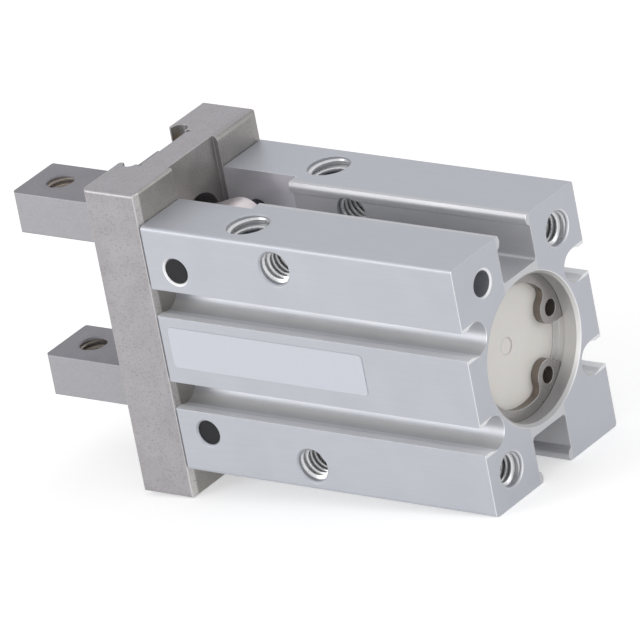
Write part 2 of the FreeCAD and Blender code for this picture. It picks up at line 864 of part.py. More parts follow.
def make_piston():
    """Rear disc of the piston, with the seal groove, riveted on the rod's spigot."""
    radius = bore_radius - piston_clearance
    end = piston_rear - piston_disc_length
    seal_x = piston_seal_x()
    seal_half = piston_seal_section_radius + seal_side_room
    groove_bottom = bore_radius - 2 * (piston_seal_section_radius + seal_gap)
    disc = ring(radius, spigot_radius + press_clearance, piston_rear, end)
    return disc.cut(ring(bore_radius + over, groove_bottom, seal_x + seal_half, seal_x - seal_half))


def piston_seal_x():
    return piston_rear - piston_disc_length / 2


def make_piston_seal():
    middle = bore_radius - seal_gap - piston_seal_section_radius
    return round_seal(middle, piston_seal_section_radius, piston_seal_x())


def make_magnet():
    start = piston_rear - piston_disc_length
    radius = bore_radius - magnet_recess
    return ring(radius, magnet_hub_radius + press_clearance, start, start - magnet_thickness)


def make_rod():
    """Rod with the piston's front flange and two cross grooves at its head for the levers."""
    disc_end = piston_rear - piston_disc_length
    magnet_end = disc_end - magnet_thickness
    groove_half = lever_inner_tip_radius + lever_tip_clearance
    rod_end = rod_groove_x - groove_half - rod_head_length
    shape = fused([
        cylinder(spigot_radius, Vector(piston_rear, 0, 0), Vector(disc_end, 0, 0)),
        cylinder(magnet_hub_radius, Vector(disc_end, 0, 0), Vector(magnet_end, 0, 0)),
        cylinder(bore_radius - piston_clearance, Vector(magnet_end, 0, 0), Vector(piston_front, 0, 0)),
        cylinder(rod_radius, Vector(piston_front, 0, 0), Vector(rod_end, 0, 0)),
    ])
    reach = rod_radius + over
    low = Vector(rod_groove_x - groove_half, -reach, rod_neck_half_height)
    high = Vector(rod_groove_x + groove_half, reach, reach)
    groove = block(low, high)
    return shape.cut(groove).cut(mirrored_top_to_bottom(groove))


def make_ball_train():
    """Balls that carry the upper finger, in both raceways."""
    ball_radius = raceway_radius - ball_clearance
    pitch = 2 * ball_radius + ball_spacing
    inner_limit = slider_inner + open_travel / 2
    outer_limit = guide_top - stopper_sunk - stopper_length - open_travel / 2
    middle = (inner_limit + outer_limit) / 2
    balls = []
    for side in (-1, 1):
        for index in range(balls_per_train):
            z = middle + (index - (balls_per_train - 1) / 2) * pitch
            place = Vector(raceway_x, side * guide_channel_half_width, z)
            balls.append(Part.makeSphere(ball_radius, place))
    return Part.makeCompound(balls)


def make_ball_stoppers():
    """Half-round stoppers at the four raceway ends, flat towards the sliders."""
    stoppers = []
    for side, level, counterbored in stopper_places():
        radius = (counterbore_radius if counterbored else raceway_radius) - stopper_clearance
        y = stopper_axis(side, counterbored)
        start = Vector(raceway_x, y, level * (guide_top - stopper_sunk))
        end = Vector(raceway_x, y, level * (guide_top - stopper_sunk - stopper_length))
        flat = side * (guide_channel_half_width + stopper_flat_gap)
        far = flat + side * 2 * counterbore_radius
        keep = block(
            Vector(raceway_x - 2 * radius, min(flat, far), -guide_top),
            Vector(raceway_x + 2 * radius, max(flat, far), guide_top),
        )
        stoppers.append(cylinder(radius, start, end).common(keep))
    return Part.makeCompound(stoppers)


def make_guide_screws():
    """Socket-head screws that hold the guide to the body."""
    head_top = guide_front + screw_head_sunk
    head_seat = head_top + screw_head_height
    socket_radius = socket_across_flats / math.sqrt(3)
    screws = []
    for y, z in screw_places():
        head = cylinder(screw_head_radius, Vector(head_top, y, z), Vector(head_seat, y, z))
        shank = cylinder(screw_radius, Vector(head_seat, y, z), Vector(head_seat + screw_length, y, z))
        corners = []
        for step in range(socket_sides):
            turn = 2 * math.pi * step / socket_sides
            corner_y = y + socket_radius * math.cos(turn)
            corner_z = z + socket_radius * math.sin(turn)
            corners.append((Vector(head_top - over, corner_y, corner_z), 0))
        socket = prism(corners, Vector(over + socket_depth, 0, 0))
        screws.append(head.fuse(shank).cut(socket))
    return Part.makeCompound(screws)


def make_guide_dowels():
    dowels = []
    for y, z in dowel_places():
        start = Vector(front_face - dowel_depth, y, z)
        dowels.append(cylinder(dowel_radius, start, Vector(front_face + dowel_depth, y, z)))
    return Part.makeCompound(dowels)


def make_label():
    start = front_face + label_front_margin
    end = start + label_length
    low = label_rise - label_height / 2
    high = label_rise + label_height / 2
    corners = []
    for x, z in ((start, low), (end, low), (end, high), (start, high)):
        corners.append((Vector(x, -side_face, z), label_corner_radius))
    return prism(corners, Vector(0, -label_thickness, 0))


upper_finger = make_finger()
upper_lever = make_lever()
upper_balls = make_ball_train()

nodes = {
    "body": make_body(),
    "guide": make_guide(),
    "guide_screws": make_guide_screws(),
    "guide_dowels": make_guide_dowels(),
    "ball_stoppers": make_ball_stoppers(),
    "balls_upper": upper_balls,
    "balls_lower": mirrored_top_to_bottom(upper_balls),
    "finger_upper": upper_finger,
    "finger_lower": mirrored_top_to_bottom(upper_finger),
    "lever_upper": upper_lever,
    "lever_lower": mirrored_top_to_bottom(upper_lever),
    "lever_shaft_upper": make_lever_shaft(1, shaft_upper_recess),
    "lever_shaft_lower": make_lever_shaft(-1, shaft_lower_recess),
    "piston": make_piston(),
    "piston_seal": make_piston_seal(),
    "magnet": make_magnet(),
    "rod": make_rod(),
    "rod_seal": make_rod_seal(),
    "rod_bumper": make_rod_bumper(),
    "cap": make_cap(),
    "cap_seal": make_cap_seal(),
    "cap_bumper": make_cap_bumper(),
    "snap_ring": make_snap_ring(),
    "label": make_label(),
}

os.makedirs("parts", exist_ok=True)
for name, shape in nodes.items():
    shape.exportStep("parts/" + name + ".step")
    print(name, len(shape.Solids), shape.isValid(), round(shape.Volume, 2))
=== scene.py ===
import json
import math

import bmesh
import bpy
from mathutils import Matrix, Vector


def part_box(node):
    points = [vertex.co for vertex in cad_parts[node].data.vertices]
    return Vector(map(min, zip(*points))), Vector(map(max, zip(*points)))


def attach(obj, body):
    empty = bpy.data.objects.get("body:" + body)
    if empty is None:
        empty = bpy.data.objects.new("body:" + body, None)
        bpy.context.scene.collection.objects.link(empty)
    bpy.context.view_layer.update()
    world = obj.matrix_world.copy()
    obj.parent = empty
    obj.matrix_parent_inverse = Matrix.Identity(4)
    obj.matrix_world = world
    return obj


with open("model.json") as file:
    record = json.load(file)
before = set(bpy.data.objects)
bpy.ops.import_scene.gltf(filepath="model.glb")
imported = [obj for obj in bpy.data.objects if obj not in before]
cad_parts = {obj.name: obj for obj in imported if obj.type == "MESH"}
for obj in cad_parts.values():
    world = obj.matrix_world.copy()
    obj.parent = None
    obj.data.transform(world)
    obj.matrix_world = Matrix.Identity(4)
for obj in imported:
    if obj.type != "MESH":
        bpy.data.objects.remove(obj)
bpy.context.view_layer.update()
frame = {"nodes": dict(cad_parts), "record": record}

MM = 0.001
WHITE = (1.0, 1.0, 1.0)

# Camera: a very long lens, rolled a little, looking at the middle of the gripper; angles in degrees
LOOK_AT = Vector((-29.93, -0.062, -0.276)) * MM
CAMERA_DISTANCE = 1263.8 * MM
CAMERA_AZIMUTH = 40.593
CAMERA_ELEVATION = 24.292
CAMERA_ROLL = -11.077
CAMERA_LENS = 631.2
CAMERA_REACH = 20.0
SENSOR_WIDTH = 36.0

# Lamps: azimuth and elevation in degrees, distance and size in metres, power in watts
KEY_LAMP = (-40.0, 10.0, 1.0, 0.6, 3.2)
FRONT_LAMP = (50.0, 15.0, 1.1, 0.6, 1.0)
REAR_LAMP = (122.0, 12.0, 1.1, 0.6, 1.3)
WORLD_FILL = 0.68

# Floor: side in metres, the two greys that it drifts between, and the glow that whitens it
FLOOR_SIZE = 6.0
FLOOR_GREYS = ((0.80, 0.80, 0.80), (0.82, 0.82, 0.82))
FLOOR_GLOW = 0.45

# Threads: pitch by nominal radius and embedding in millimetres, ridge as shares of the pitch
THREAD_PITCH = {2.0: 0.7, 2.5: 0.8}
THREAD_DEPTH = 0.5413
THREAD_HALF_FOOT = 7 / 16
THREAD_HALF_CREST = 1 / 8
THREAD_EMBED = 0.015

# Threads: steps in a turn, and turns over which the ridge grows at the mouth and fades at the bottom
THREAD_STEPS = 48
THREAD_RUN_IN = 0.8
FINGER_RUN_IN = 0.35
THREAD_RUN_OUT = 0.35

# Threads: colours, painted shade in the roots, and the depths between which it deepens
CUT_ALUMINIUM = (0.93, 0.935, 0.95)
CUT_STEEL = (0.84, 0.76, 0.69)
ROOT_PAINTED_SHADE = (0.06, 0.06, 0.06)
ROOT_LIT_DEPTH = 0.3 * MM
ROOT_DARK_DEPTH = 2.0 * MM
ROOT_LIT_SHARE = 0.3

# Rims that narrow both ends of a finger's tapped hole, in millimetres
FINGER_CHAMFER = 0.1
FINGER_RIM_RADIUS = 1.76
FINGER_RIM_LAND = 0.12

# Ends of the range that a noise stays in almost everywhere
NOISE_LOW = 0.3
NOISE_HIGH = 0.7

# Sockets of the node that mixes colours
MIX_FACTOR = 0
MIX_FIRST = 6
MIX_SECOND = 7
MIX_RESULT = 2

# Softness of the borders between finishes
CRISP = 0.005 * MM
SHARP = 0.02 * MM
SOFT = 0.05 * MM

# Body: top channel, and the wider pocket in front of it, with the height where painted shade starts in
# the pocket
CHANNEL_FRONT = -32.95 * MM
CHANNEL_HALF_WIDTH = 3.25 * MM
POCKET_HALF_WIDTH = 4.35 * MM
POCKET_SHADE_Z = 13.0 * MM
POCKET_SHADE_SOFT = 1.2 * MM

# Body: sensor grooves, from their round bottom over the lips to the mouth
GROOVE_Z = 5.82 * MM
GROOVE_HALF_HEIGHT = 2.1 * MM
GROOVE_BOTTOM_Y = 7.55 * MM
GROOVE_LIP_Y = 9.6 * MM
GROOVE_MOUTH_Y = 11.78 * MM

# Body: rear bore, rear edge and long outer corners
BORE_AXIS = Vector((0.0, 0.0, 0.0))
BORE_RADIUS = 9.15 * MM
BORE_INNER_X = -9.0 * MM
BORE_OUTER_X = -0.02 * MM
REAR_EDGE_X = -0.09 * MM
CORNER_Y = 11.2 * MM
CORNER_Z = 14.7 * MM
CORNER_REAR_X = -0.5 * MM

# Body: rear dowel hole and lever shaft holes, with the part of their rims that gets a painted glint
PIN_HOLE = Vector((0.0, -6.85, 11.35)) * MM
PIN_RIM_RADIUS = 1.78 * MM
SHAFT_HOLE = Vector((-39.4, 0.0, 10.15)) * MM
SHAFT_RIM_RADIUS = 1.82 * MM
SMALL_HOLE_RADIUS = 1.51 * MM

# Body: colours, and tints by which a place differs from the rest, mostly painted light and shade,
# painted glints, and worn edges with a painted highlight
ANODISED = (0.50, 0.515, 0.56)
TOP_PAINTED_SHADE = (0.95, 0.955, 0.965)
CHANNEL_PAINTED_LIGHT = (1.15, 1.12, 1.07)
POCKET_PAINTED_LIGHT = (1.85, 1.8, 1.73)
POCKET_SHADE_TINT = (0.72, 0.72, 0.74)
GROOVE_LIP_PAINTED_LIGHT = (1.62, 1.58, 1.48)
GROOVE_BOTTOM_TINT = (1.0, 0.99, 0.97)
GROOVE_LOW_PAINTED_LIGHT = (1.24, 1.21, 1.13)
PIN_HOLE_PAINTED_SHADE = (0.72, 0.72, 0.72)
BORE_PAINTED_LIGHT = (0.80, 0.79, 0.78)
BORE_TOP_PAINTED_SHADE = (0.45, 0.45, 0.44)
BORE_BOTTOM_PAINTED_SHADE = (0.43, 0.43, 0.44)
PAINTED_EDGE_GLINT = (0.92, 0.92, 0.94)
WORN_EDGE_AND_HIGHLIGHT = (0.85, 0.86, 0.89)

# Guide: places on its rear face and at the lever holes
GUIDE_STRIP_Y = -10.75 * MM
GUIDE_EDGE_X = -43.72 * MM
GUIDE_EDGE_Y = -11.55 * MM
GUIDE_RUST_X = -44.4 * MM
GUIDE_SIDE_Y = 4.0 * MM
LEVER_HOLES = (Vector((0.0, 0.0, 10.15)) * MM, Vector((0.0, 0.0, -10.15)) * MM)
LEVER_HOLE_RADIUS = 2.7 * MM

# Guide: colours, painted light and shade on its faces and in its lever holes, dirt, and worn edges with
# painted highlights
GUIDE_STEEL = (0.39, 0.377, 0.392)
GUIDE_DIRT = (0.12, 0.09, 0.075)
GUIDE_REAR_PAINTED_SHADE = (0.84, 0.83, 0.77)
GUIDE_NEAR_PAINTED_LIGHT = (1.18, 1.19, 1.16)
GUIDE_FAR_PAINTED_SHADE = (0.91, 0.92, 0.93)
GUIDE_STRIP_PAINTED_HIGHLIGHT = (1.8, 1.8, 1.85)
GUIDE_TOP_PAINTED_SHADE = (0.92, 0.925, 0.95)
LEVER_HOLE_PAINTED_SHADE = (0.25, 0.25, 0.25)
GUIDE_WORN_EDGE_AND_HIGHLIGHT = (0.88, 0.86, 0.86)
GUIDE_EDGE_GLINT = (0.86, 0.85, 0.86)

# Cap: painted shade where it shows through the snap ring's eyes
RING_EYES = (Vector((0.0, 6.64, 1.69)) * MM, Vector((0.0, 4.09, -5.49)) * MM)
RING_EYE_RADIUS = 1.03 * MM
RING_EYE_PAINTED_SHADE = (0.035, 0.03, 0.026)


def toward_camera(azimuth, elevation):
    """Direction from the object to a camera; azimuth 0 looks along +Y."""
    a = math.radians(azimuth)
    e = math.radians(elevation)
    return Vector((math.sin(a) * math.cos(e), -math.cos(a) * math.cos(e), math.sin(e)))


def rgba(colour):
    if isinstance(colour, tuple) and len(colour) == 3:
        return colour + (1.0,)
    return colour


def shade(colour, factor):
    return tuple(channel * factor for channel in colour)


class Recipe:
    """One procedural material, with short calls for the nodes that the recipes share."""

    def __init__(self, name):
        self.material = bpy.data.materials.new(name)
        self.material.use_nodes = True
        self.tree = self.material.node_tree
        self.shader = self.tree.nodes["Principled BSDF"]
        places = self.add("ShaderNodeTexCoord")
        self.position = places.outputs["Object"]
        self.outward = places.outputs["Normal"]

    def add(self, kind, **settings):
        node = self.tree.nodes.new(kind)
        for key, value in settings.items():
            setattr(node, key, value)
        return node

    def link(self, source, target):
        if isinstance(source, (int, float, tuple)):
            target.default_value = source
        else:
            self.tree.links.new(source, target)

    def math(self, operation, first, second=0.0):
        node = self.add("ShaderNodeMath", operation=operation)
        self.link(first, node.inputs[0])
        self.link(second, node.inputs[1])
        return node.outputs[0]

    def scaled(self, value, factor):
        return self.math("MULTIPLY", value, factor)

    def stretched(self, x, y, z):
        node = self.add("ShaderNodeVectorMath", operation="MULTIPLY")
        self.link(self.position, node.inputs[0])
        node.inputs[1].default_value = (x, y, z)
        return node.outputs[0]

    def axis(self, name):
        """One coordinate of the place, in metres."""
        node = self.add("ShaderNodeSeparateXYZ")
        self.link(self.position, node.inputs[0])
        return node.outputs[name]

    def facing(self, name):
        """How far the surface faces along an axis, from -1 to 1."""
        node = self.add("ShaderNodeSeparateXYZ")
        self.link(self.outward, node.inputs[0])
        return node.outputs[name]

    def over(self, value, limit, soft):
        """0 below the limit and 1 above it, with a soft step."""
        return self.remap(value, limit - soft, limit + soft, 0.0, 1.0)

    def under(self, value, limit, soft):
        """1 below the limit and 0 above it, with a soft step."""
        return self.remap(value, limit - soft, limit + soft, 1.0, 0.0)

    def both(self, *factors):
        product = factors[0]
        for factor in factors[1:]:
            product = self.scaled(product, factor)
        return product

    def off_axis(self, place, across=(0.0, 1.0, 1.0)):
        """Distance from a line through a place; across has a 0 for the axis that the line runs along."""
        shifted = self.add("ShaderNodeVectorMath", operation="SUBTRACT")
        self.link(self.stretched(*across), shifted.inputs[0])
        shifted.inputs[1].default_value = [part * share for part, share in zip(place, across)]
        length = self.add("ShaderNodeVectorMath", operation="LENGTH")
        self.link(shifted.outputs[0], length.inputs[0])
        return length.outputs["Value"]

    def noise(self, size, detail=2.0, vector=None):
        """Noise whose blobs are about size metres across."""
        node = self.add("ShaderNodeTexNoise")
        self.link(self.position if vector is None else vector, node.inputs["Vector"])
        node.inputs["Scale"].default_value = 1.0 / size
        node.inputs["Detail"].default_value = detail
        return node.outputs["Fac"]

    def off_spots(self, size):
        """Distance from scattered spots, as a share of the size of a cell in metres."""
        node = self.add("ShaderNodeTexVoronoi")
        self.link(self.position, node.inputs["Vector"])
        node.inputs["Scale"].default_value = 1.0 / size
        return node.outputs["Distance"]

    def remap(self, value, from_low, from_high, to_low, to_high):
        node = self.add("ShaderNodeMapRange")
        self.link(value, node.inputs["Value"])
        node.inputs["From Min"].default_value = from_low
        node.inputs["From Max"].default_value = from_high
        node.inputs["To Min"].default_value = to_low
        node.inputs["To Max"].default_value = to_high
        return node.outputs["Result"]

    def spread(self, noise, low, high):
        """A noise brought to run from low to high."""
        return self.remap(noise, NOISE_LOW, NOISE_HIGH, low, high)

    def mix(self, factor, first, second, blend="MIX"):
        node = self.add("ShaderNodeMix", data_type="RGBA", blend_type=blend)
        self.link(factor, node.inputs[MIX_FACTOR])
        self.link(rgba(first), node.inputs[MIX_FIRST])
        self.link(rgba(second), node.inputs[MIX_SECOND])
        return node.outputs[MIX_RESULT]

    def tint(self, colour, factor, by):
        """The colour multiplied by another one, as far as the factor says."""
        return self.mix(factor, colour, by, "MULTIPLY")

    def tinted(self, colour, places):
        """The colour with a tint at each of the places, given as factor and tint."""
        for factor, by in places:
            colour = self.tint(colour, factor, by)
        return colour

    def bevel(self, radius):
        node = self.add("ShaderNodeBevel", samples=6)
        self.link(radius, node.inputs["Radius"])
        return node.outputs["Normal"]

    def edges(self, radius):
        """About 1 along sharp edges and 0 on flats."""
        rounded = self.bevel(radius)
        dot = self.add("ShaderNodeVectorMath", operation="DOT_PRODUCT")
        self.link(rounded, dot.inputs[0])
        self.link(self.add("ShaderNodeNewGeometry").outputs["Normal"], dot.inputs[1])
        return self.remap(dot.outputs["Value"], 0.99, 0.8, 0.0, 1.0)

    def bump(self, height, depth, normal):
        node = self.add("ShaderNodeBump")
        node.inputs["Distance"].default_value = depth
        self.link(height, node.inputs["Height"])
        self.link(normal, node.inputs["Normal"])
        return node.outputs["Normal"]

    def finish(self, colour, roughness, normal, metallic=1.0):
        self.link(rgba(colour), self.shader.inputs["Base Color"])
        self.link(roughness, self.shader.inputs["Roughness"])
        self.link(normal, self.shader.inputs["Normal"])
        self.shader.inputs["Metallic"].default_value = metallic
        return self.material


def pocket_on_body(recipe):
    return recipe.both(
        recipe.under(recipe.axis("X"), CHANNEL_FRONT, SOFT),
        recipe.under(recipe.math("ABSOLUTE", recipe.axis("Y")), POCKET_HALF_WIDTH, SHARP),
    )


def groove_on_body(recipe, from_y, to_y, soft):
    """Part of the four sensor grooves between two distances from the middle plane."""
    aside = recipe.math("ABSOLUTE", recipe.axis("Y"))
    height = recipe.math("ABSOLUTE", recipe.axis("Z"))
    off_middle = recipe.math("ABSOLUTE", recipe.math("SUBTRACT", height, GROOVE_Z))
    return recipe.both(
        recipe.over(aside, from_y, SHARP),
        recipe.under(aside, to_y, soft),
        recipe.under(off_middle, GROOVE_HALF_HEIGHT, SOFT),
    )


def body_painted_light(recipe, pocket, groove_lips):
    """Places on the body that are lighter or darker than its outer faces, with their tints: painted
    shade on the top faces and high in the pocket, painted light in the channel, the pocket and the
    grooves' lips and lower faces, and a faint warm tint on the grooves' bottoms.
    """
    upward = recipe.facing("Z")
    aside = recipe.math("ABSOLUTE", recipe.axis("Y"))
    channel = recipe.both(
        recipe.over(recipe.axis("X"), CHANNEL_FRONT, SOFT),
        recipe.under(aside, CHANNEL_HALF_WIDTH, SHARP),
    )
    groove_bottom = recipe.both(
        groove_on_body(recipe, GROOVE_BOTTOM_Y, GROOVE_LIP_Y, SHARP),
        recipe.under(recipe.facing("X"), 0.5, 0.1),
    )
    pocket_shade = recipe.over(recipe.axis("Z"), POCKET_SHADE_Z, POCKET_SHADE_SOFT)
    return [
        (recipe.over(upward, 0.9, 0.05), TOP_PAINTED_SHADE),
        (channel, CHANNEL_PAINTED_LIGHT),
        (pocket, POCKET_PAINTED_LIGHT),
        (recipe.both(pocket, pocket_shade), POCKET_SHADE_TINT),
        (groove_lips, GROOVE_LIP_PAINTED_LIGHT),
        (groove_bottom, GROOVE_BOTTOM_TINT),
        (recipe.both(groove_bottom, recipe.over(upward, 0.68, 0.1)), GROOVE_LOW_PAINTED_LIGHT),
    ]


def bored_metal_with_painted_shade(recipe, colour):
    """The colour, with the rear bore in bare metal, painted light across its middle and painted shade at
    its top and bottom.
    """
    x = recipe.axis("X")
    z = recipe.axis("Z")
    bored = recipe.both(
        recipe.over(x, BORE_INNER_X, SOFT),
        recipe.under(x, BORE_OUTER_X, 0.01 * MM),
        recipe.under(recipe.off_axis(BORE_AXIS), BORE_RADIUS, SHARP),
    )
    silver = recipe.mix(recipe.remap(z, -1.0 * MM, 7.0 * MM, 0.0, 1.0), BORE_PAINTED_LIGHT, BORE_TOP_PAINTED_SHADE)
    silver = recipe.mix(recipe.remap(z, -8.5 * MM, -4.0 * MM, 1.0, 0.0), silver, BORE_BOTTOM_PAINTED_SHADE)
    return recipe.mix(bored, colour, silver)


def edge_glints_on_body(recipe, from_pin):
    """Painted glints on cut edges: one side of the rims of the dowel hole and of the shaft holes, and
    the rear edges.
    """
    x = recipe.axis("X")
    pin_rim_glint = recipe.both(
        recipe.over(from_pin, SMALL_HOLE_RADIUS, CRISP),
        recipe.under(from_pin, PIN_RIM_RADIUS, 0.06 * MM),
        recipe.over(recipe.axis("Y"), PIN_HOLE.y, 0.8 * MM),
    )
    from_shaft = recipe.off_axis(SHAFT_HOLE, (1.0, 0.0, 1.0))
    low_front = recipe.math("ADD", x, recipe.axis("Z"))
    shaft_rim_glint = recipe.both(
        recipe.over(from_shaft, SMALL_HOLE_RADIUS, CRISP),
        recipe.under(from_shaft, SHAFT_RIM_RADIUS, 0.04 * MM),
        recipe.under(low_front, SHAFT_HOLE.x + SHAFT_HOLE.z, 1.0 * MM),
    )
    rear_edge_glint = recipe.both(
        recipe.over(x, REAR_EDGE_X, SHARP),
        recipe.under(recipe.facing("X"), 0.9, 0.02),
        recipe.under(recipe.facing("Z"), 0.6, 0.1),
    )
    return recipe.math("MAXIMUM", recipe.math("MAXIMUM", pin_rim_glint, shaft_rim_glint), rear_edge_glint)


def rounding_on_body(recipe):
    """Radius of the body's edges, larger at the four long outer corners."""
    long_corner = recipe.both(
        recipe.over(recipe.math("ABSOLUTE", recipe.axis("Y")), CORNER_Y, 0.01 * MM),
        recipe.over(recipe.math("ABSOLUTE", recipe.axis("Z")), CORNER_Z, 0.01 * MM),
        recipe.under(recipe.axis("X"), CORNER_REAR_X, SOFT),
    )
    return recipe.remap(long_corner, 0.0, 1.0, 0.1 * MM, 0.4 * MM)


def anodised_metal():
    """Clear anodised aluminium with a fine matt grain, and other tints where it is bored or milled,
    mostly painted light and shade, with painted glints and worn edges with a painted highlight.
    """
    recipe = Recipe("anodised_aluminium")
    lines = recipe.noise(0.12 * MM, 3.0, recipe.stretched(0.03, 1.0, 1.0))
    clouds = recipe.noise(5.0 * MM, 3.0)
    tone = recipe.math("ADD", recipe.spread(lines, -0.2, 0.2), recipe.spread(clouds, 0.3, 0.7))
    colour = recipe.mix(tone, shade(ANODISED, 0.95), shade(ANODISED, 1.05))
    pocket = pocket_on_body(recipe)
    groove_lips = groove_on_body(recipe, GROOVE_LIP_Y, GROOVE_MOUTH_Y, CRISP)
    colour = recipe.tinted(colour, body_painted_light(recipe, pocket, groove_lips))
    colour = bored_metal_with_painted_shade(recipe, colour)
    from_pin = recipe.off_axis(PIN_HOLE)
    # Painted shade inside the dowel hole.
    colour = recipe.tint(colour, recipe.under(from_pin, SMALL_HOLE_RADIUS, CRISP), PIN_HOLE_PAINTED_SHADE)
    # Painted glints on one side of the hole rims and on the rear edges.
    colour = recipe.mix(edge_glints_on_body(recipe, from_pin), colour, PAINTED_EDGE_GLINT)
    rounding = rounding_on_body(recipe)
    # Worn edges with a painted highlight along the rounded edges.
    colour = recipe.mix(recipe.scaled(recipe.edges(rounding), 0.35), colour, WORN_EDGE_AND_HIGHLIGHT)
    grain = recipe.noise(0.05 * MM, 2.0)
    height = recipe.math("ADD", recipe.scaled(lines, 0.5), grain)
    normal = recipe.bump(height, 0.004 * MM, recipe.bevel(rounding))
    roughness = recipe.spread(clouds, 0.42, 0.48)
    roughness = recipe.math("ADD", roughness, recipe.scaled(groove_lips, 0.25))
    roughness = recipe.math("SUBTRACT", roughness, recipe.scaled(pocket, 0.15))
    return recipe.finish(colour, roughness, normal, metallic=0.5)


def cut_metal(name, base, mount):
    """Bright crests of a thread cut round the given mount's axis, with painted shade in its roots that
    deepens away from the mouth.
    """
    recipe = Recipe(name)
    radius = mount["dims"]["r_mm"]
    crest = radius - THREAD_DEPTH * THREAD_PITCH[radius]
    across = [1.0 - abs(component) for component in mount["axis"]]
    turning = recipe.noise(0.4 * MM, 3.0)
    colour = recipe.mix(turning, base, shade(base, 1.08))
    root = recipe.remap(recipe.off_axis(mount["pos_m"], across), crest * MM, radius * MM, 0.0, 1.0)
    along = max(range(3), key=lambda index: abs(mount["axis"][index]))
    past_mouth = recipe.math("SUBTRACT", recipe.axis("XYZ"[along]), mount["pos_m"][along])
    depth = recipe.scaled(past_mouth, -round(mount["axis"][along]))
    # Painted shade in the roots, deeper away from the mouth.
    root_painted_shade = recipe.remap(depth, ROOT_LIT_DEPTH, ROOT_DARK_DEPTH, ROOT_LIT_SHARE, 1.0)
    colour = recipe.tint(colour, recipe.scaled(root, root_painted_shade), ROOT_PAINTED_SHADE)
    normal = recipe.bump(turning, 0.004 * MM, recipe.bevel(0.03 * MM))
    return recipe.finish(colour, recipe.spread(turning, 0.26, 0.34), normal, metallic=0.6)


def guide_painted_light(recipe):
    """Painted light and shade on the guide: a darker rear face with painted light on its near side and
    painted shade on its far side, a painted highlight on the near strip, painted shade on the top and in
    the lever holes, with their tints.
    """
    y = recipe.axis("Y")
    backward = recipe.facing("X")
    rear = recipe.over(backward, 0.6, 0.1)
    places = [
        (rear, GUIDE_REAR_PAINTED_SHADE),
        (recipe.both(rear, recipe.under(y, -GUIDE_SIDE_Y, GUIDE_SIDE_Y)), GUIDE_NEAR_PAINTED_LIGHT),
        (recipe.both(rear, recipe.over(y, GUIDE_SIDE_Y, GUIDE_SIDE_Y)), GUIDE_FAR_PAINTED_SHADE),
        (recipe.both(rear, recipe.under(y, GUIDE_STRIP_Y, 0.1 * MM)), GUIDE_STRIP_PAINTED_HIGHLIGHT),
        (recipe.over(recipe.facing("Z"), 0.9, 0.05), GUIDE_TOP_PAINTED_SHADE),
    ]
    # Painted shade inside the lever holes.
    for hole in LEVER_HOLES:
        inside = recipe.under(recipe.off_axis(hole), LEVER_HOLE_RADIUS, 0.1 * MM)
        places.append((recipe.both(inside, recipe.under(backward, 0.5, 0.1)), LEVER_HOLE_PAINTED_SHADE))
    return places


def guide_pits(recipe):
    """Small pits, which come more often near the rear edge."""
    pit = recipe.remap(recipe.off_spots(0.42 * MM), 0.05, 0.2, 1.0, 0.0)
    rusty = recipe.scaled(recipe.over(recipe.axis("X"), GUIDE_RUST_X, 0.5 * MM), 0.12)
    chance = recipe.math("ADD", recipe.noise(0.6 * MM, 1.0), rusty)
    return recipe.scaled(pit, recipe.remap(chance, 0.56, 0.62, 0.0, 1.0))


def guide_steel():
    """Ground steel with small dark and brown pits, painted light and shade on its faces and in its lever
    holes, and worn edges with painted highlights.
    """
    recipe = Recipe("guide_steel")
    clouds = recipe.noise(2.2 * MM, 4.0)
    grain = recipe.noise(0.09 * MM, 2.0)
    tone = recipe.spread(clouds, 0.0, 1.0)
    colour = recipe.mix(tone, shade(GUIDE_STEEL, 0.94), shade(GUIDE_STEEL, 1.05))
    colour = recipe.tinted(colour, guide_painted_light(recipe))
    sand = recipe.remap(recipe.noise(0.16 * MM, 1.0), 0.56, 0.70, 0.0, 1.0)
    colour = recipe.mix(recipe.scaled(sand, 0.34), colour, GUIDE_DIRT)
    pits = guide_pits(recipe)
    colour = recipe.mix(recipe.scaled(pits, 0.75), colour, GUIDE_DIRT)
    # Worn edges with a painted highlight.
    colour = recipe.mix(recipe.scaled(recipe.edges(0.16 * MM), 0.5), colour, GUIDE_WORN_EDGE_AND_HIGHLIGHT)
    # Painted glint along the near rear edge.
    near_rear_glint = recipe.both(
        recipe.over(recipe.axis("X"), GUIDE_EDGE_X, 0.06 * MM),
        recipe.under(recipe.axis("Y"), GUIDE_EDGE_Y, 0.06 * MM),
    )
    colour = recipe.mix(recipe.scaled(near_rear_glint, 0.8), colour, GUIDE_EDGE_GLINT)
    height = recipe.math("SUBTRACT", grain, pits)
    normal = recipe.bump(height, 0.006 * MM, recipe.bevel(0.2 * MM))
    return recipe.finish(colour, recipe.spread(clouds, 0.35, 0.42), normal, metallic=0.6)


